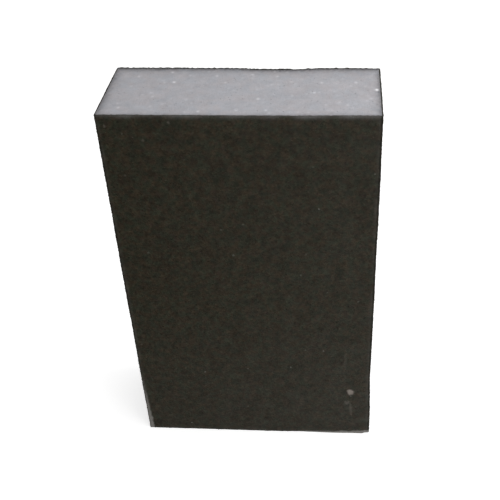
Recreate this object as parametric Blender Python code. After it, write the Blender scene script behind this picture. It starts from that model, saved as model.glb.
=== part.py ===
"""Block eraser for a chalkboard, modelled in metres and standing on one of its cut ends.

A foam core carries a thin gritty wiping coat on each of its four long faces, and each coat is held
by its own film of glue. The two ends are cut straight across, so they show bare foam with the cut
edges of the glue and the coats around it. Nothing on it moves.

+Z runs up between the ends, +X runs across the broad wiping faces, and -Y is the front. The origin
is the centre of the end that it stands on.
"""

import bmesh
import bpy
from mathutils import Vector

# Driving dimensions.
HEIGHT = 0.105  # between the two cut ends
WIDTH = 0.065  # over the coats on the two narrow edges
DEPTH = 0.025  # over the coats on the two broad faces
COAT = 0.0004  # thickness of a coat, grit included
GLUE = 0.0004  # thickness of a film of glue, with the foam that it has soaked
CLEARANCE = 0.0003  # left between neighbouring layers
CORNER_RADIUS = 0.0003  # of the four long outer corners
CORNER_SEGMENTS = 4

# Where the layers lie, as distances from the middle of the block.
BEHIND_COAT = COAT + CLEARANCE  # from the outside to the face of the glue
BEHIND_GLUE = BEHIND_COAT + GLUE + CLEARANCE  # from the outside to the face of the foam
FOAM_HALF_WIDTH = WIDTH / 2 - BEHIND_GLUE
FOAM_HALF_DEPTH = DEPTH / 2 - BEHIND_GLUE
BROAD_HALF_WIDTH = WIDTH / 2 - BEHIND_COAT  # the broad coats fit between the edge coats

# Base colour (linear) and roughness of each material.
FOAM_FINISH = ("foam", (0.40, 0.395, 0.42, 1.0), 0.9)
GLUE_FINISH = ("glue", (0.12, 0.115, 0.12, 1.0), 0.6)
COAT_FINISH = ("coat", (0.024, 0.022, 0.018, 1.0), 0.8)


def clear_scene():
    for obj in list(bpy.data.objects):
        bpy.data.objects.remove(obj, do_unlink=True)


def make_material(name, colour, roughness):
    material = bpy.data.materials.new(name)
    material.use_nodes = True
    shader = material.node_tree.nodes["Principled BSDF"]
    shader.inputs["Base Color"].default_value = colour
    shader.inputs["Roughness"].default_value = roughness
    shader.inputs["Metallic"].default_value = 0.0
    return material


def slab_mesh(name, size, rounded_side=0):
    """A box around its own centre. rounded_side (+1 or -1) rounds its upright edges on that side of X."""
    mesh = bpy.data.meshes.new(name)
    bm = bmesh.new()
    bmesh.ops.create_cube(bm, size=1.0)
    bmesh.ops.scale(bm, vec=size, verts=bm.verts)
    if rounded_side:
        edges = [
            edge
            for edge in bm.edges
            if all(vert.co.x * rounded_side > 0 for vert in edge.verts)
            and abs(edge.verts[0].co.z - edge.verts[1].co.z) > size.z / 2
        ]
        bmesh.ops.bevel(
            bm,
            geom=edges,
            offset=CORNER_RADIUS,
            segments=CORNER_SEGMENTS,
            profile=0.5,
            affect="EDGES",
        )
    bmesh.ops.recalc_face_normals(bm, faces=bm.faces)
    bm.to_mesh(mesh)
    bm.free()
    return mesh


def add_slab(name, low, high, material, parent, rounded_side=0):
    """One closed solid between two corners, with its origin at its own centre."""
    low, high = Vector(low), Vector(high)
    mesh = slab_mesh(name, high - low, rounded_side)
    mesh.materials.append(material)
    slab = bpy.data.objects.new(name, mesh)
    slab.location = (low + high) / 2
    slab.parent = parent
    bpy.context.scene.collection.objects.link(slab)
    return slab


def add_foam_core(material, parent):
    add_slab(
        "foam_core",
        (-FOAM_HALF_WIDTH, -FOAM_HALF_DEPTH, 0),
        (FOAM_HALF_WIDTH, FOAM_HALF_DEPTH, HEIGHT),
        material,
        parent,
    )


def add_broad_face(side, direction, glue, coat, parent):
    """The glue and the coat of the front (direction -1) or the back (+1)."""
    for layer, material, outset, thickness in (
        ("glue_film", glue, BEHIND_COAT, GLUE),
        ("wiping_coat", coat, 0, COAT),
    ):
        outer = DEPTH / 2 - outset
        across = sorted((direction * outer, direction * (outer - thickness)))
        add_slab(
            f"{side}_{layer}",
            (-BROAD_HALF_WIDTH, across[0], 0),
            (BROAD_HALF_WIDTH, across[1], HEIGHT),
            material,
            parent,
        )


def add_narrow_edge(side, direction, glue, coat, parent):
    """The glue and the coat of the left (direction -1) or the right (+1), its coat as deep as the block."""
    for layer, material, outset, thickness, half_depth in (
        ("glue_film", glue, BEHIND_COAT, GLUE, FOAM_HALF_DEPTH),
        ("edge_coat", coat, 0, COAT, DEPTH / 2),
    ):
        outer = WIDTH / 2 - outset
        across = sorted((direction * outer, direction * (outer - thickness)))
        add_slab(
            f"{side}_{layer}",
            (across[0], -half_depth, 0),
            (across[1], half_depth, HEIGHT),
            material,
            parent,
            rounded_side=direction if layer == "edge_coat" else 0,
        )


def main():
    clear_scene()
    foam = make_material(*FOAM_FINISH)
    glue = make_material(*GLUE_FINISH)
    coat = make_material(*COAT_FINISH)
    block = bpy.data.objects.new("block_eraser", None)
    bpy.context.scene.collection.objects.link(block)
    add_foam_core(foam, block)
    for side, direction in (("front", -1), ("back", 1)):
        add_broad_face(side, direction, glue, coat, block)
    for side, direction in (("left", -1), ("right", 1)):
        add_narrow_edge(side, direction, glue, coat, block)


main()
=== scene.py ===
"""Looks of the block eraser: a fine-celled grey foam core with a thin black gritty coat on four sides.

Every piece is built around the CAD solid that it replaces, in metres, in the frame of the CAD model:
+Z up between the cut ends, -Y to the front. Both the foam's cut cells and the coat's grains are real
geometry. A rectangle is cut into irregular cells, and each cell becomes a small pyramid that points
out of the surface, for a grain, or into it, for an open cell.
"""

import math

import bpy
import numpy as np
from mathutils import Matrix, Vector
from mathutils.geometry import delaunay_2d_cdt


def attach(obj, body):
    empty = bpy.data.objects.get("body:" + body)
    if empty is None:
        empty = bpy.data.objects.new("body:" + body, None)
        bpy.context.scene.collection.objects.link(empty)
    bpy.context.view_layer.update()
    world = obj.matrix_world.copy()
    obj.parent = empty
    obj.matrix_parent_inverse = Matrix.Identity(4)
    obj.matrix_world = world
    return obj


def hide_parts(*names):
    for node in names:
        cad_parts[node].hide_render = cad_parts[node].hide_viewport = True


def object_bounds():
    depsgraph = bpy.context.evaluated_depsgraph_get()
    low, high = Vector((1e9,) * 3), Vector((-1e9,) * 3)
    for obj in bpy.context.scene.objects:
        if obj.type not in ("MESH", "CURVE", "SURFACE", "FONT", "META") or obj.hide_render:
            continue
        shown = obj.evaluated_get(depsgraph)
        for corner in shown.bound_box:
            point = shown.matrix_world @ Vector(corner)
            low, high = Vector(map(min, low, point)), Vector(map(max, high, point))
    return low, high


MM = 0.001

# The block, from the CAD model.
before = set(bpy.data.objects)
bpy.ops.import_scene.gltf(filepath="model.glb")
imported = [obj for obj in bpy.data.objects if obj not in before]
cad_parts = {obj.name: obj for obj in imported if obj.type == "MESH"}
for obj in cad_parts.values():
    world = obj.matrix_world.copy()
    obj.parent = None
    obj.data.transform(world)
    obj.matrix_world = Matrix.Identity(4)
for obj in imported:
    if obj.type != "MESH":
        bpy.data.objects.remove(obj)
cad_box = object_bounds()
WIDTH, DEPTH, HEIGHT = cad_box[1] - cad_box[0]
HALF_WIDTH, HALF_DEPTH = WIDTH / 2, DEPTH / 2

# Layers, from the outside in.
COAT = {"front": 0.5 * MM, "back": 0.56 * MM, "left": 0.36 * MM, "right": 0.4 * MM}  # thickness of each
GLUE = 0.32 * MM  # thickness of the glue-soaked layer behind it
LIP = 0.75 * MM  # how far an edge coat reaches round onto the front and the back
CORNER_RADIUS = 0.45 * MM  # of the long corners, outside
INNER_RADIUS = 0.1 * MM  # of the same corners, at the back of the coat

# The outline of the foam core: its sides' distances from the middle of the block.
FOAM_SIDES = {
    side: (HALF_DEPTH if side in ("front", "back") else HALF_WIDTH) - thickness - GLUE
    for side, thickness in COAT.items()
}

# Cells of the two surfaces.
GRAIN = 0.48 * MM  # spacing of the coat's grains
GRAIN_HEIGHT = 0.18 * MM
FOAM_CELL = 0.34 * MM
FOAM_CELL_DEPTH = 0.08 * MM
JITTER = 0.36  # how far a cell's centre strays, as a share of the spacing
LARGE_PORES = 120  # on each cut end of the foam
LARGE_PORE_DEPTH = 0.2 * MM  # more than a cell's

# Camera.
CAMERA_PLACE = (0.0227, -0.17668, 0.19331)
CAMERA_AZIMUTH = 4.395  # degrees, from straight in front towards +X
CAMERA_ELEVATION = 37.29
CAMERA_ROLL = -1.768
FOCAL_LENGTH = 60.09  # mm, on a 36 mm sensor
SENSOR_WIDTH = 36.0
CAMERA_SHIFT = -0.07254


# ---------------------------------------------------------------- irregular cells


class Cells:
    """A rectangle cut into irregular cells.

    points: (n, 2) places, the cells' centres first, then the corners of their walls
    count: how many of the points are centres
    triangles: (m, 3) anticlockwise, each from a centre to one wall of its cell
    outline: the points along the border, anticlockwise
    """


def circumcentres(a, b, c):
    b, c = b - a, c - a
    doubled = 2 * (b[:, 0] * c[:, 1] - b[:, 1] * c[:, 0])
    bb, cc = (b**2).sum(1), (c**2).sum(1)
    x = (c[:, 1] * bb - b[:, 1] * cc) / doubled
    y = (b[:, 0] * cc - c[:, 0] * bb) / doubled
    return a + np.stack([x, y], -1)


def scattered_centres(width, height, spacing, rng):
    """Points on staggered rows, each moved a little at random."""
    rows = round(height / (spacing * math.sqrt(3) / 2))
    columns = round(width / spacing)
    row, column = np.mgrid[0:rows, 0:columns]
    across = (column + 0.25 + 0.5 * (row % 2)) / columns
    along = (row + 0.5) / rows
    centres = np.stack([across, along], -1).reshape(-1, 2) * (width, height)
    centres += rng.uniform(-JITTER, JITTER, centres.shape) * spacing
    edge = 0.2 * spacing
    return centres.clip(edge, np.array([width, height]) - edge)


def with_reflections(sites, width, height, reach):
    """Adds mirror images across the four borders, so that cells end exactly on them."""
    for axis, size in enumerate((width, height)):
        low = sites[sites[:, axis] < reach].copy()
        low[:, axis] *= -1
        high = sites[sites[:, axis] > size - reach].copy()
        high[:, axis] = 2 * size - high[:, axis]
        sites = np.concatenate([sites, low, high])
    return sites


def cut_into_cells(width, height, spacing, seed):
    rng = np.random.default_rng(seed)
    centres = scattered_centres(width, height, spacing, rng)
    count = len(centres)
    sites = with_reflections(centres, width, height, 3 * spacing)
    places = [Vector(p) for p in sites / spacing]
    triangles = np.array(delaunay_2d_cdt(places, [], [], 0, 1e-7, False)[2])
    nodes = circumcentres(*(sites[triangles[:, i]] for i in range(3)))

    # Each wall lies between two neighbouring centres and joins two nodes.
    sides = np.sort(triangles[:, [[0, 1], [1, 2], [2, 0]]].reshape(-1, 2), -1)
    owners = np.repeat(np.arange(len(triangles)), 3)
    order = np.lexsort(sides.T)
    sides, owners = sides[order], owners[order]
    first = np.flatnonzero((sides[1:] == sides[:-1]).all(1))
    between, ends = sides[first], np.stack([owners[first], owners[first + 1]], -1)
    used = (between < count).any(1)
    between, ends = between[used], ends[used]

    # Each runs anticlockwise round the first of its two centres.
    to_start, to_end = (nodes[ends[:, i]] - sites[between[:, 0]] for i in (0, 1))
    clockwise = to_start[:, 0] * to_end[:, 1] < to_start[:, 1] * to_end[:, 0]
    ends[clockwise] = ends[clockwise][:, ::-1]

    # Nodes that nearly meet become one.
    label = np.arange(len(nodes))
    gap = np.linalg.norm(nodes[ends[:, 0]] - nodes[ends[:, 1]], axis=1)
    short = ends[gap < 0.16 * spacing]
    for _ in range(12):
        lowest = np.repeat(label[short].min(1), 2)
        np.minimum.at(label, short.ravel(), lowest)
    ends = label[ends]
    solid = ends[:, 0] != ends[:, 1]
    between, ends = between[solid], ends[solid]

    # The outer walls lie on the border, and its four corners are true.
    outer = (between < count).sum(1) == 1
    rim = np.unique(ends[outer])
    size = np.array([width, height])
    distances = np.concatenate([np.abs(nodes[rim]), np.abs(nodes[rim] - size)], 1)
    nearest = distances.argmin(1)
    nodes[rim, nearest % 2] = np.where(nearest < 2, 0, size[nearest % 2])
    for corner in ((0, 0), (width, 0), (width, height), (0, height)):
        closest = np.linalg.norm(nodes[rim] - corner, axis=1).argmin()
        nodes[rim[closest]] = corner

    kept, new_index = np.unique(ends, return_inverse=True)
    ends = new_index.reshape(ends.shape) + count
    cells = Cells()
    cells.points = np.concatenate([centres, nodes[kept]])
    cells.count = count
    fans = []
    for side, walls in ((0, ends), (1, ends[:, ::-1])):
        own = between[:, side] < count
        fans.append(np.column_stack([between[own, side], walls[own]]))
    fans = np.concatenate(fans)
    cells.triangles = fans[np.argsort(fans[:, 0], kind="stable")]
    cells.outline = follow_outline(cells.triangles)
    return cells


def follow_outline(triangles):
    """The border's points in order: the walls that no second triangle shares."""
    walls = {(int(b), int(c)) for _, b, c in triangles}
    onward = {b: c for b, c in walls if (c, b) not in walls}
    outline = [min(onward)]
    while onward[outline[-1]] != outline[0]:
        outline.append(onward[outline[-1]])
    return np.array(outline)


# ---------------------------------------------------------------- noise and masks


def smooth_noise(places, wavelength, seed, waves=14):
    """Smooth noise from about -1 to 1: a sum of plane waves in random directions."""
    rng = np.random.default_rng(seed)
    directions = rng.normal(size=(waves, places.shape[1]))
    directions /= np.linalg.norm(directions, axis=1)[:, None]
    lengths = wavelength * rng.uniform(0.7, 1.6, waves)
    phases = rng.uniform(0, 2 * math.pi, waves)
    angles = 2 * math.pi * places @ (directions / lengths[:, None]).T + phases
    return np.sin(angles).sum(1) * math.sqrt(2 / waves) / 1.6


def smoothstep(low, high, value):
    share = ((value - low) / (high - low)).clip(0, 1)
    return share * share * (3 - 2 * share)


def spots(places, marks_and_glints, ragged):
    """Strongest cover of any mark (middle, half sizes, lean, strength, all in mm) at each 2-D place."""
    cover = np.zeros(len(places))
    for x, y, across, up, lean, strength in marks_and_glints:
        turn = math.radians(lean)
        dx, dy = places[:, 0] / MM - x, places[:, 1] / MM - y
        u = (dx * math.cos(turn) + dy * math.sin(turn)) / across
        v = (-dx * math.sin(turn) + dy * math.cos(turn)) / up
        cover = np.maximum(cover, strength * smoothstep(1.25, 0.65, np.hypot(u, v) + ragged))
    return cover


def on_front(places):
    """Which points lie on the front, down to a little way into its coat."""
    return places[:, 1] < 0.3 * MM - HALF_DEPTH


def corner_wear_and_highlight(places):
    """How far the coat is rubbed off beside the lower part of the front left corner, where it is also
    painted lighter as a highlight, from 0 to 1.
    """
    reach, broadest, kept_dark = 40 * MM, 1.5 * MM, 0.3 * MM
    left = (1 - places[:, 2] / reach).clip(0, 1)
    breadth = broadest * left**1.5
    in_from_side = places[:, 0] + HALF_WIDTH + 0.1 * MM * smooth_noise(places, 1.6 * MM, 61)
    band = smoothstep(breadth + 0.2 * MM, breadth - 0.2 * MM, in_from_side)
    band *= smoothstep(0.4 * kept_dark, 1.3 * kept_dark, in_from_side)
    return band * left**1.2 * on_front(places)


def foot_wear(places):
    """How far the coat is rubbed off along the bottom of the front, more and more to the right."""
    height = 1.1 * MM * smoothstep(0, 34 * MM, places[:, 0]) + 1e-6
    share = places[:, 2] / height + 0.15 * smooth_noise(places, 2 * MM, 64)
    return smoothstep(1.3, 0.7, share) * smoothstep(0.1 * MM, 0.3 * MM, height) * on_front(places)


def edge_dust(places):
    """Pale rubbing along every border of a face, from 0 up to about 2.5 along the very top."""
    to_side = HALF_WIDTH - np.abs(places[:, 0])
    to_face = HALF_DEPTH - np.abs(places[:, 1])
    corner = smoothstep(1.5 * MM, 0.6 * MM, np.maximum(to_side, to_face))
    to_top = HEIGHT - places[:, 2]
    top = smoothstep(1.3 * MM, 0.1 * MM, to_top) + 0.9 * smoothstep(0.6 * MM, 0.1 * MM, to_top)
    bottom = smoothstep(1.3 * MM, 0.2 * MM, places[:, 2])
    more_at_right = 0.75 + 0.25 * smoothstep(-10 * MM, 10 * MM, places[:, 0])
    uneven = 0.8 + 0.35 * smooth_noise(places, 7 * MM, 65)
    return np.maximum.reduce([0.4 * corner, top * more_at_right, 0.4 * bottom]) * uneven.clip(0, 1.3)


def black_and_shaded_corners(places):
    """How far a point is on the rounding of a long corner, which keeps its full black and is painted
    darker still as shade, from 0 to 1.
    """
    to_side = HALF_WIDTH - np.abs(places[:, 0])
    to_face = HALF_DEPTH - np.abs(places[:, 1])
    away = np.maximum(to_side, to_face) + 0.05 * MM * smooth_noise(places, 2 * MM, 63)
    return smoothstep(0.6 * MM, 0.4 * MM, away)


# Pale marks on the front, the last four of them painted glints: middle (x, z) and half size (across, up)
# in mm, lean in degrees, strength.
CHALK_MARKS_AND_GLINTS = (
    (26.95, 17.5, 0.9, 1.2, 0, 1.0),
    (25.9, 13.2, 0.8, 0.8, 0, 0.24),
    (27.0, 10.4, 0.4, 2.9, 3, 0.16),
    (25.4, 30.0, 0.4, 3.8, 0, 0.09),
    (-21.9, 98.7, 0.3, 0.3, 0, 0.3),
    (-30.3, 102.2, 0.3, 0.3, 0, 0.25),
    (-27.4, 89.2, 0.3, 0.3, 0, 0.2),
    (-15.6, 103.3, 0.3, 0.3, 0, 0.22),
)


def out_of_true(places):
    """Where the real block isn't quite square, for the points of any piece."""
    x, y, z = places.T.copy()
    right = (x / HALF_WIDTH).clip(0, 1)
    left = (-x / HALF_WIDTH).clip(0, 1)
    behind_front = y + HALF_DEPTH
    # The foot spreads to the right, and the lower two thirds reach a little further to the left.
    x += 0.42 * MM * right**2 * smoothstep(24 * MM, 7 * MM, z)
    x -= 0.1 * MM * left**2 * smoothstep(95 * MM, 60 * MM, z)
    # The top dips along the back, right of the middle.
    dip = smoothstep(-4 * MM, 4 * MM, x) * smoothstep(19 * MM, 11 * MM, x)
    z -= 0.3 * MM * dip * smoothstep(5 * MM, 12 * MM, y) * smoothstep(90 * MM, HEIGHT, z)
    # It rises a little towards its front right corner.
    to_front = (1 - behind_front / HALF_DEPTH).clip(0, 1)
    z += 0.17 * MM * to_front * smoothstep(8 * MM, 30 * MM, x) * smoothstep(80 * MM, HEIGHT, z)
    # The foot's front right corner is broken off.
    broken = smoothstep(31.1 * MM, 31.6 * MM, x) * (1 - behind_front / (1.1 * MM)).clip(0, 1)
    z += 0.6 * MM * broken * (1 - z / (3 * MM)).clip(0, 1)
    return np.column_stack([x, y, z])


# ---------------------------------------------------------------- meshes


def add_piece(name, points, faces, node, material, values=None, face_values=None):
    """A piece of the object from points and faces, which stands for a CAD node."""
    mesh = bpy.data.meshes.new(name)
    mesh.from_pydata(out_of_true(points).tolist(), [], faces)
    mesh.validate()
    for layer, domain, numbers in (
        *((key, "POINT", val) for key, val in (values or {}).items()),
        *((key, "FACE", val) for key, val in (face_values or {}).items()),
    ):
        attribute = mesh.attributes.new(layer, "FLOAT", domain)
        attribute.data.foreach_set("value", np.asarray(numbers, np.float32))
    mesh.materials.append(material)
    piece = bpy.data.objects.new(name, mesh)
    bpy.context.scene.collection.objects.link(piece)
    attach(piece, "root")
    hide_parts(node)
    return piece


def directions(side):
    """The way along a side, to the right as seen from outside it, and the way out of it."""
    angle = ("front", "right", "back", "left").index(side) * math.pi / 2
    return np.array([math.cos(angle), math.sin(angle)]), np.array([math.sin(angle), -math.cos(angle)])


def unroll_broad(side):
    """The front or the back coat laid flat: its width, where it folds, and how it lies on the block.

    The last result takes places across the coat and gives the points on its outside, the ways out
    of them, and the points at its back.
    """
    along, out = directions(side)
    width = 2 * (HALF_WIDTH - LIP)

    def place(across):
        base = (across - width / 2)[:, None] * along
        outward = np.tile(out, (len(across), 1))
        return base + HALF_DEPTH * out, outward, base + (HALF_DEPTH - COAT[side]) * out

    return width, [], place


def unroll_narrow(side):
    """The same for a narrow side's coat, which turns round two corners onto the front and the back."""
    along, out = directions(side)
    flat = HALF_DEPTH - CORNER_RADIUS
    arc = CORNER_RADIUS * math.pi / 2
    half = flat + arc + LIP - CORNER_RADIUS
    folds = [half + sign * fold for sign in (-1, 1) for fold in (flat, flat + arc / 2, flat + arc)]

    def place(across):
        off = np.abs(across - half)
        sign = np.sign(across - half)
        along_flat = (off / flat).clip(0, 1)
        turn = ((off - flat) / CORNER_RADIUS).clip(0, math.pi / 2)
        along_lip = ((off - flat - arc) / (half - flat - arc)).clip(0, 1)

        def profile(inset, end_inset, radius):
            straight = HALF_DEPTH - end_inset - radius
            corner = HALF_WIDTH - inset - radius
            a = straight * along_flat + radius * np.sin(turn)
            b = corner + radius * np.cos(turn) + (HALF_WIDTH - LIP - corner) * along_lip
            return (sign * a)[:, None] * along + b[:, None] * out

        outward = (sign * np.sin(turn))[:, None] * along + np.cos(turn)[:, None] * out
        lip_thickness = np.where(sign * along[1] > 0, COAT["back"], COAT["front"])
        behind = profile(COAT[side], lip_thickness, INNER_RADIUS)
        return profile(0, 0, CORNER_RADIUS), outward, behind

    return 2 * half, folds, place


def fill_outline(outline, inner):
    """Clockwise triangles that fill an anticlockwise outline in the flat, through the inner points."""
    places = [Vector(p) for p in np.concatenate([outline, inner]) / GRAIN]
    loop = [(i, (i + 1) % len(outline)) for i in range(len(outline))]
    _, _, triangles, sources, _, _ = delaunay_2d_cdt(places, loop, [], 1, 1e-7)
    return [tuple(sources[corner][0] for corner in reversed(triangle)) for triangle in triangles]


def rim_faces(rows):
    """Quads between closed rows of points, each row behind the one before."""
    faces = []
    for front, back in zip(rows, rows[1:]):
        for here in range(len(front)):
            after = (here + 1) % len(front)
            faces.append((front[here], back[here], back[after], front[after]))
    return faces


# Heights at which the inner pieces' plain walls have points, so that they lean with the coats.
WALL_LEVELS = [level * MM for level in (103, 100, 95, 85, 75, 60, 30, 24, 20, 16, 12, 7, 3)]


def plain_walls(points, top, bottom):
    """Walls between two closed rows of points, one above the other: all points, and the walls' faces."""
    rows, added = [top.tolist()], []
    for level in WALL_LEVELS:
        start = len(points) + len(added) * len(top)
        rows.append(list(range(start, start + len(top))))
        added.append(np.column_stack([points[top, :2], np.full(len(top), level)]))
    return np.concatenate([points, *added]), rim_faces([*rows, bottom.tolist()])


def ragged_end(up, rng, amount):
    """Moves points of the two cut ends off their plane, never below the bottom one."""
    moved = up.copy()
    top, bottom = up > HEIGHT - 1e-6, up < 1e-6
    moved[top] += rng.uniform(-amount, amount, top.sum())
    moved[bottom] += rng.uniform(0, 0.6 * amount, bottom.sum())
    return moved


def grain_heights(places, count, rubbed, rng):
    """How far each point of a coat stands out: grains at the cells' centres, resin along their walls."""
    total = len(places)
    grains = rng.beta(1.5, 2.6, total) * GRAIN_HEIGHT
    resin = rng.normal(0, 0.018 * MM, total)
    height = np.where(np.arange(total) < count, grains, resin) * (1 - 0.8 * rubbed)
    waves = 0.05 * MM * smooth_noise(places, 14 * MM, 71)
    height += waves + 0.02 * MM * smooth_noise(places, 3 * MM, 72)
    return height - 0.09 * MM - 0.06 * MM * rubbed**2


RIM_DUST = {"front": 1.6, "back": 0.5, "left": 0.5, "right": 0.5}  # on the cut edges of each coat


def coat(side, node, seed, crumble, material):
    """One gritty coat: sharp grains outside, a broken edge at both cut ends and a plain back."""
    unroll = unroll_narrow if side in ("left", "right") else unroll_broad
    width, folds, place = unroll(side)
    cells = cut_into_cells(width, HEIGHT, GRAIN, seed)
    rng = np.random.default_rng(seed + 1)
    count, total = cells.count, len(cells.points)
    flat = cells.points.copy()
    flat[:count] += rng.uniform(-0.22, 0.22, (count, 2)) * GRAIN
    spot, outward, behind = place(flat[:, 0])
    places = np.column_stack([spot, ragged_end(flat[:, 1], rng, crumble)])

    wear_and_highlight = np.maximum(corner_wear_and_highlight(places), foot_wear(places))
    ragged = 0.14 * smooth_noise(places, 0.9 * MM, 62)
    marks_and_glints = spots(places[:, [0, 2]], CHALK_MARKS_AND_GLINTS, ragged) * on_front(places)
    dust, corner_black_and_shade = edge_dust(places), black_and_shaded_corners(places)
    rubbed = np.maximum(wear_and_highlight, 0.6 * marks_and_glints)
    outside = places.copy()
    outside[:, :2] += outward * grain_heights(places, count, rubbed, rng)[:, None]

    outline = cells.outline
    lips = np.column_stack([behind[outline], flat[outline, 1]])
    at_end = (flat[outline, 1] > HEIGHT - 1e-6) | (flat[outline, 1] < 1e-6)
    rim_rows = 3
    rings, rows = [], [outline.tolist()]
    for row in range(1, rim_rows + 1):
        ring = outside[outline] + (lips - outside[outline]) * row / rim_rows
        ring[:, 2] = (ring[:, 2] + 0.9 * crumble * at_end * rng.uniform(-1, 1, len(ring))).clip(0, None)
        start = total + len(rings) * len(outline)
        rings.append(ring)
        rows.append(list(range(start, start + len(outline))))

    # The plain back has points of its own along its folds, or along three lines where it has none.
    columns = folds or [width * share for share in (0.25, 0.5, 0.75)]
    steps = np.linspace(0, HEIGHT, 36)[1:-1]
    inner = np.array([(column, step) for column in columns for step in steps])
    inner_back = np.column_stack([place(inner[:, 0])[2], inner[:, 1]])
    first_inner = total + rim_rows * len(outline)
    numbers = rows[-1] + list(range(first_inner, first_inner + len(inner)))
    back = [tuple(numbers[i] for i in triangle) for triangle in fill_outline(flat[outline], inner)]

    points = np.concatenate([outside, *rings, inner_back])
    faces = cells.triangles.tolist() + rim_faces(rows) + back
    tone = rng.normal(0, 1, count)[cells.triangles[:, 0]]
    tones = np.concatenate([tone, rng.normal(0, 1, len(faces) - len(tone))])
    rest = len(points) - total
    return add_piece(
        f"{side}_coat",
        points,
        faces,
        node,
        material,
        values={
            "wear_and_highlight": np.pad(wear_and_highlight, (0, rest)),
            "marks_and_glints": np.pad(marks_and_glints, (0, rest)),
            "dust": np.pad(dust, (0, rest), constant_values=RIM_DUST[side]),
            "corner_black_and_shade": np.pad(corner_black_and_shade, (0, rest)),
        },
        face_values={"tone": tones},
    )


# How much darker the foam is beside each side, and how far in that reaches.
EDGE_DARKENING = {
    "left": (0.46, 0.9 * MM),
    "back": (0.62, 1.25 * MM),
    "right": (0.36, 0.7 * MM),
    "front": (0.24, 0.6 * MM),
}


def glue_film(side, node, seed, material):
    """The glue-soaked layer behind a coat, whose cut ends are slightly rough."""
    rng = np.random.default_rng(seed)
    along, out = directions(side)
    outer = FOAM_SIDES[side] + GLUE
    if side in ("front", "back"):
        low, high = -FOAM_SIDES["left"] - 0.9 * GLUE, FOAM_SIDES["right"] + 0.9 * GLUE
    else:
        low, high = -FOAM_SIDES["front"], FOAM_SIDES["back"]
    heading = along.sum()  # 1 where the way along the side is +X or +Y, and -1 where it is -X or -Y
    low, high = sorted((low * heading, high * heading))
    columns, rows = round((high - low) / (0.3 * MM)) + 1, 4
    across = np.linspace(low, high, columns)
    ends = []
    for level, up in ((HEIGHT, 1), (0.0, -1)):
        for row in range(rows):
            flat = across[:, None] * along + out * (outer - GLUE * row / (rows - 1))
            inward = rng.uniform(0, 0.1, columns) * MM
            ends.append(np.column_stack([flat, level - up * inward]))
    points = np.concatenate(ends)
    number = np.arange(2 * rows * columns).reshape(2, rows, columns)
    a, b = number[:, :-1], number[:, 1:]
    top = np.stack([a[0, :, :-1], a[0, :, 1:], b[0, :, 1:], b[0, :, :-1]], -1).reshape(-1, 4)
    bottom = np.stack([a[1, :, :-1], b[1, :, :-1], b[1, :, 1:], a[1, :, 1:]], -1).reshape(-1, 4)
    around = [number[0, 0, :-1], number[0, :-1, -1], number[0, -1, :0:-1], number[0, :0:-1, 0]]
    ring = np.concatenate(around)
    points, walls = plain_walls(points, ring, ring + rows * columns)
    faces = np.concatenate([top, bottom]).tolist() + walls
    edge_darkening = np.full(len(points), EDGE_DARKENING[side][0])
    return add_piece(f"{side}_glue", points, faces, node, material, values={"edge_darkening": edge_darkening})


# Bright cell walls on the foam's ends, painted near white as glints: middle (x, y) in mm and strength.
FLECKS = (
    (31.3, 0.8, 1.0),
    (-16.9, 4.5, 0.5),
    (-18.1, 9.8, 0.3),
    (-26.0, 7.5, 0.2),
    (-9.0, -10.2, 0.35),
    (-0.5, -9.4, 0.3),
    (16.8, -0.7, 0.38),
    (4.0, -4.0, 0.3),
    (6.2, -9.5, 0.28),
    (1.6, 9.0, 0.25),
    (7.7, 8.0, 0.22),
    (18.4, 4.4, 0.25),
    (26.5, 4.6, 0.25),
    (-27.6, -8.6, 0.25),
    (24.6, -7.0, 0.2),
    (-4.5, 4.3, 0.2),
    (-7.0, 7.9, 0.25),
    (29.9, -3.6, 0.2),
)
SCATTERED_FLECKS = 160  # more of them, at random
SCATTERED_STRENGTH = 0.16  # of the strongest of those
FLECK_SIZE = (0.36, 0.46)  # half sizes of every fleck, in mm


def foam_glint_flecks(flat, rng):
    """How strongly bright flecks, painted glints on flat cell walls, cover each point of a cut end, from
    0 to 1.
    """
    glint_fleck = np.zeros(len(flat))
    half_width, half_depth = np.abs(flat).max(0) / MM
    across = rng.uniform(-half_width, half_width, SCATTERED_FLECKS)
    through = rng.uniform(-half_depth, half_depth, SCATTERED_FLECKS)
    strengths = SCATTERED_STRENGTH * rng.uniform(0, 1, SCATTERED_FLECKS) ** 2
    for x, y, strength in (*FLECKS, *zip(across, through, strengths)):
        away = np.linalg.norm((flat / MM - (x, y)) / FLECK_SIZE, axis=1)
        glint_fleck = np.maximum(glint_fleck, strength * np.exp(-(away**2)))
    return glint_fleck


def foam_edge_darkening(flat, seed):
    """How much darker each point of a cut end is near the sides, from 0 to 1."""
    fine, broad = smooth_noise(flat, 1.1 * MM, seed), smooth_noise(flat, 3 * MM, seed + 1)
    ragged = 0.14 * MM * (fine + 0.6 * broad)
    edge_darkening = np.zeros(len(flat))
    for side, (share, reach) in EDGE_DARKENING.items():
        out = directions(side)[1]
        inside = (FOAM_SIDES[side] - flat @ out + ragged).clip(0, None)
        edge_darkening = np.maximum(edge_darkening, share * np.exp(-inside / reach))
    return edge_darkening


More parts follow.
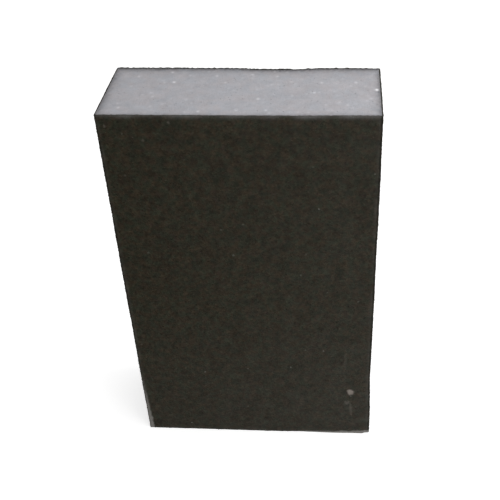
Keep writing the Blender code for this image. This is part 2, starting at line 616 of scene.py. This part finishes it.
def foam_block(node, seed, material):
    """The foam core. Both cut ends show one pattern of open cells, each with depths of its own."""
    low = np.array([-FOAM_SIDES["left"], -FOAM_SIDES["front"]])
    high = np.array([FOAM_SIDES["right"], FOAM_SIDES["back"]])
    cells = cut_into_cells(*(high - low), FOAM_CELL, seed)
    rng = np.random.default_rng(seed + 1)
    count, total = cells.count, len(cells.points)
    flat = cells.points + low
    is_cell = np.arange(total) < count
    flat[:count] += rng.uniform(-0.15, 0.15, (count, 2)) * FOAM_CELL
    flat[:count] = flat[:count].clip(low, high)
    glint_fleck = foam_glint_flecks(flat, rng)
    edge_darkening = foam_edge_darkening(flat, seed + 5)

    ends = []
    for level, up in ((HEIGHT, 1), (0.0, -1)):
        pit = FOAM_CELL_DEPTH * rng.beta(2.2, 2.0, total)
        wall = rng.normal(0, 0.01 * MM, total)
        inward = np.where(is_cell, pit * (1 - glint_fleck.clip(0, 1)), 0.02 * MM - wall)
        large = rng.choice(count, LARGE_PORES, replace=False)
        inward[large] += LARGE_PORE_DEPTH
        sag = 0.035 * MM * (1 + smooth_noise(flat, 9 * MM, seed + 7))
        ends.append(np.column_stack([flat, level - up * (inward + sag).clip(0, None)]))
    points, walls = plain_walls(np.concatenate(ends), cells.outline, cells.outline + total)
    faces = cells.triangles.tolist() + (cells.triangles[:, ::-1] + total).tolist() + walls
    rest = len(points) - 2 * total
    tone = rng.normal(0, 1, count)[cells.triangles[:, 0]]
    block = add_piece(
        "foam_block",
        points,
        faces,
        node,
        material,
        values={
            "glint_fleck": np.pad(np.tile(glint_fleck, 2), (0, rest)),
            "edge_darkening": np.pad(np.tile(edge_darkening, 2), (0, rest)),
        },
        face_values={"tone": np.concatenate([tone, tone, np.zeros(len(walls))])},
    )
    return block


# ---------------------------------------------------------------- materials


class Nodes:
    """Short ways to add and link shader nodes."""

    def __init__(self, name):
        self.material = bpy.data.materials.new(name)
        self.material.use_nodes = True
        self.tree = self.material.node_tree
        self.shader = self.tree.nodes["Principled BSDF"]

    def add(self, kind, settings=None, **inputs):
        node = self.tree.nodes.new(kind)
        for key, value in (settings or {}).items():
            setattr(node, key, value)
        for key, value in inputs.items():
            self.set(node, key, value)
        return node

    def set(self, node, key, value):
        """Sets an input by name (_ for a space) or by index (i0, i1 ...)."""
        indexed = key[0] == "i" and key[1:].isdigit()
        socket = node.inputs[int(key[1:]) if indexed else key.replace("_", " ")]
        if isinstance(value, bpy.types.NodeSocket):
            self.tree.links.new(value, socket)
        else:
            socket.default_value = value

    def place(self):
        """The surface's own coordinates, in mm."""
        spot = self.add("ShaderNodeTexCoord").outputs["Object"]
        return self.add("ShaderNodeVectorMath", {"operation": "SCALE"}, i0=spot, Scale=1000).outputs[0]

    def value(self, name):
        return self.add("ShaderNodeAttribute", {"attribute_name": name}).outputs["Fac"]

    def maths(self, operation, a, b=0.0, clamp=False):
        settings = {"operation": operation, "use_clamp": clamp}
        return self.add("ShaderNodeMath", settings, i0=a, i1=b).outputs[0]

    def noise(self, place, size, detail=2.0, roughness=0.5):
        """Noise from 0 to 1, whose lumps are about that many mm across."""
        return self.add(
            "ShaderNodeTexNoise", Vector=place, Scale=1 / size, Detail=detail, Roughness=roughness
        ).outputs["Fac"]

    def scaled(self, value, low, high, to_low, to_high):
        return self.add(
            "ShaderNodeMapRange", Value=value, From_Min=low, From_Max=high, To_Min=to_low, To_Max=to_high
        ).outputs["Result"]

    def mix(self, share, a, b, blend="MIX"):
        node = self.add("ShaderNodeMix", {"data_type": "RGBA", "blend_type": blend})
        for key, value in (("i0", share), ("i6", a), ("i7", b)):
            self.set(node, key, value)
        return node.outputs[2]

    def brighten(self, colour, factor):
        """The colour times a number that varies over the surface."""
        grey = self.add("ShaderNodeCombineColor", i0=factor, i1=factor, i2=factor).outputs[0]
        return self.mix(1.0, colour, grey, "MULTIPLY")

    def bump(self, height, distance, strength=1.0, normal=None):
        node = self.add("ShaderNodeBump", Height=height, Distance=distance, Strength=strength)
        if normal is not None:
            self.set(node, "Normal", normal)
        return node.outputs[0]

    def finish(self, colour, roughness, normal, specular):
        self.set(self.shader, "Base Color", colour)
        self.set(self.shader, "Roughness", roughness)
        self.set(self.shader, "Normal", normal)
        self.shader.inputs["Specular IOR Level"].default_value = specular
        return self.material


def coat_material():
    n = Nodes("gritty_coat")
    place = n.place()
    tone = n.value("tone")
    wear_and_highlight, marks_and_glints, dust, corner_black_and_shade = n.value("wear_and_highlight"), n.value("marks_and_glints"), n.value("dust"), n.value("corner_black_and_shade")

    # Black resin, in patches that lean to brown, green and red.
    brown = (0.0212, 0.0158, 0.0090, 1)
    green = (0.0160, 0.0172, 0.0104, 1)
    red = (0.0212, 0.0146, 0.0108, 1)
    colour = n.mix(n.scaled(n.noise(place, 1.6, 4, 0.7), 0.42, 0.58, 0, 1), brown, green)
    colour = n.mix(n.scaled(n.noise(place, 1.4, 4, 0.7), 0.54, 0.66, 0, 0.7), colour, red)
    clumps = n.scaled(n.noise(place, 1.7, 4, 0.6), 0.3, 0.7, 0.66, 1.32)
    grains = n.scaled(tone, -2, 2, 0.78, 1.22)
    colour = n.brighten(colour, n.maths("MULTIPLY", grains, clumps))
    # Painted glints: the rarest grains painted pale.
    colour = n.mix(n.scaled(tone, 3.0, 3.5, 0, 0.4), colour, (0.14, 0.14, 0.13, 1))

    # A veil of grey dust and painted light: thicker to the right and towards the foot, partly as painted
    # light from the right and from the floor below, and thickest along the borders.
    axes = n.add("ShaderNodeSeparateXYZ", Vector=place)
    dust_and_light_to_right = n.scaled(axes.outputs["X"], -32, 32, 0.0, 0.07)
    dust_and_light_to_foot = n.scaled(axes.outputs["Z"], 50, 0, 0.0, 0.055)
    dust_and_painted_light = n.maths("ADD", n.maths("ADD", dust_and_light_to_right, dust_and_light_to_foot), n.maths("MULTIPLY", dust, 0.34))
    uneven = n.scaled(n.noise(place, 3.5, 3), 0.3, 0.7, 0.7, 1.3)
    off_corners = n.scaled(corner_black_and_shade, 0, 1, 1.0, 0.2)
    dust_and_painted_light = n.maths("MULTIPLY", n.maths("MULTIPLY", dust_and_painted_light, uneven), off_corners, clamp=True)
    colour = n.mix(dust_and_painted_light, colour, (0.105, 0.102, 0.098, 1))

    # Painted shade on the corners' rounding, then rubbed places, painted lighter also as a highlight at
    # the lower left, and chalk marks and painted glints over everything.
    kept = n.maths("SUBTRACT", 1.0, wear_and_highlight, clamp=True)
    colour = n.brighten(colour, n.scaled(n.maths("MULTIPLY", corner_black_and_shade, kept), 0, 1, 1.0, 0.5))
    patchy = n.scaled(n.noise(place, 0.5, 3), 0.3, 0.55, 0.75, 1.0)
    colour = n.mix(n.maths("MULTIPLY", wear_and_highlight, patchy), colour, (0.156, 0.149, 0.138, 1))
    colour = n.mix(n.maths("MULTIPLY", marks_and_glints, patchy), colour, (0.165, 0.145, 0.128, 1))
    roughness = n.scaled(tone, -2, 2, 0.85, 0.55)
    normal = n.bump(n.noise(place, 0.12, 3, 0.6), 0.05 * MM, 0.5)
    return n.finish(colour, roughness, normal, 0.06)


def foam_colour(n, place):
    """The grey of bare foam, in faintly warm and cool patches."""
    cool, warm = (0.380, 0.384, 0.412, 1), (0.400, 0.386, 0.404, 1)
    hue = n.scaled(n.noise(place, 2.8, 3, 0.6), 0.38, 0.62, 0, 1)
    mottle = n.scaled(n.noise(place, 2.6, 4, 0.6), 0.3, 0.7, 0.93, 1.07)
    return n.brighten(n.mix(hue, cool, warm), mottle)


def foam_material():
    n = Nodes("cut_foam")
    place = n.place()
    tone, glint_fleck, edge_darkening = n.value("tone"), n.value("glint_fleck"), n.value("edge_darkening")
    colour = n.brighten(foam_colour(n, place), n.scaled(tone, -2, 2, 0.955, 1.045))
    # Painted shade: darker towards the left and towards the back.
    axes = n.add("ShaderNodeSeparateXYZ", Vector=place)
    shade_to_left = n.scaled(axes.outputs["X"], 0, -32, 1.0, 0.96)
    shade_to_back = n.scaled(axes.outputs["Y"], 0, 12, 1.0, 0.965)
    colour = n.brighten(colour, n.maths("MULTIPLY", shade_to_left, shade_to_back))
    colour = n.brighten(colour, n.maths("SUBTRACT", 1.0, edge_darkening))
    # Painted glints: the flecks' cell walls near white and glossier.
    colour = n.mix(glint_fleck, colour, (0.92, 0.92, 0.95, 1))
    roughness = n.scaled(glint_fleck, 0, 1, 0.85, 0.4)
    pores = n.add("ShaderNodeTexVoronoi", Vector=place, Scale=1 / 0.16).outputs["Distance"]
    return n.finish(colour, roughness, n.bump(pores, 0.04 * MM, 0.4), 0.25)


def glue_material():
    n = Nodes("glue_soaked_foam")
    place = n.place()
    lumps = n.scaled(n.noise(place, 0.5, 3), 0.3, 0.7, 0, 1)
    dark = n.maths("ADD", n.value("edge_darkening"), n.scaled(lumps, 0, 1, -0.06, 0.1), clamp=True)
    colour = n.brighten(foam_colour(n, place), n.maths("SUBTRACT", 1.0, dark))
    normal = n.bump(n.noise(place, 0.15, 2), 0.05 * MM, 0.6)
    return n.finish(colour, n.scaled(lumps, 0, 1, 0.55, 0.8), normal, 0.3)


# ---------------------------------------------------------------- the object


def build_object():
    coats, glue, foam = coat_material(), glue_material(), foam_material()
    foam_block("foam_core", 11, foam)
    for seed, side in enumerate(("front", "back", "left", "right")):
        glue_film(side, f"{side}_glue_film", 31 + seed, glue)
    ragged, neat = 0.11 * MM, 0.05 * MM
    coat("front", "front_wiping_coat", 101, neat, coats)
    coat("back", "back_wiping_coat", 111, ragged, coats)
    coat("left", "left_edge_coat", 121, neat, coats)
    coat("right", "right_edge_coat", 131, neat, coats)


# ---------------------------------------------------------------- floor, light and camera


def add_floor():
    """A lit white table: pale, and with a glow of its own."""
    bpy.ops.mesh.primitive_plane_add(size=6.0)
    floor = bpy.context.object
    floor.name = "floor"
    n = Nodes("pale_floor")
    place = n.place()
    colour = n.mix(n.noise(place, 40, 2), (0.74, 0.74, 0.74, 1), (0.76, 0.76, 0.76, 1))
    n.finish(colour, 0.9, n.bump(n.noise(place, 3, 2), 0.05 * MM, 0.2), 0.2)
    n.shader.inputs["Emission Color"].default_value = (1, 1, 1, 1)
    n.shader.inputs["Emission Strength"].default_value = 0.55
    floor.data.materials.append(n.material)


def add_light(kind, name, place, power, size, target=(0, 0, 0.05)):
    """A soft light: an area light of that size in metres, or a sun of that many degrees across."""
    data = bpy.data.lights.new(name, kind)
    data.energy = power
    if kind == "AREA":
        data.shape = "DISK"
        data.size = size
    else:
        data.angle = math.radians(size)
    light = bpy.data.objects.new(name, data)
    light.location = place
    light.rotation_euler = (Vector(target) - Vector(place)).to_track_quat("-Z", "Y").to_euler()
    light.visible_camera = False
    bpy.context.scene.collection.objects.link(light)


def add_world(light, backdrop):
    """A white studio all round, which looks brighter than it lights."""
    world = bpy.data.worlds.new("studio")
    world.use_nodes = True
    tree = world.node_tree
    background = tree.nodes["Background"]
    background.inputs["Color"].default_value = (1, 1, 1, 1)
    rays = tree.nodes.new("ShaderNodeLightPath")
    strength = tree.nodes.new("ShaderNodeMapRange")
    strength.inputs["To Min"].default_value = light
    strength.inputs["To Max"].default_value = backdrop
    tree.links.new(rays.outputs["Is Camera Ray"], strength.inputs["Value"])
    tree.links.new(strength.outputs["Result"], background.inputs["Strength"])
    bpy.context.scene.world = world


def add_camera():
    azimuth, elevation, roll = map(math.radians, (CAMERA_AZIMUTH, CAMERA_ELEVATION, CAMERA_ROLL))
    backward = Vector(
        (
            math.sin(azimuth) * math.cos(elevation),
            -math.cos(azimuth) * math.cos(elevation),
            math.sin(elevation),
        )
    )
    level = Vector((0, 0, 1)).cross(backward).normalized()
    upright = backward.cross(level)
    right = math.cos(roll) * level + math.sin(roll) * upright
    up = -math.sin(roll) * level + math.cos(roll) * upright
    data = bpy.data.cameras.new("camera")
    data.lens = FOCAL_LENGTH
    data.sensor_width = SENSOR_WIDTH
    data.shift_x = CAMERA_SHIFT
    data.clip_start = 0.01
    camera = bpy.data.objects.new("camera", data)
    turned = Matrix((right, up, backward)).transposed().to_4x4()
    camera.matrix_world = Matrix.Translation(CAMERA_PLACE) @ turned
    bpy.context.scene.collection.objects.link(camera)
    bpy.context.scene.camera = camera


build_object()
add_floor()
add_world(light=0.42, backdrop=1.1)
add_light("SUN", "overhead", (0.3, -0.2, 1.6), power=1.15, size=40)
add_light("AREA", "key", (0.15, -0.17, 0.055), power=0.12, size=0.08)
add_light("AREA", "fill", (0.17, 0.0, 0.24), power=0.19, size=0.08)
add_camera()
bpy.context.scene.view_settings.view_transform = "Standard"
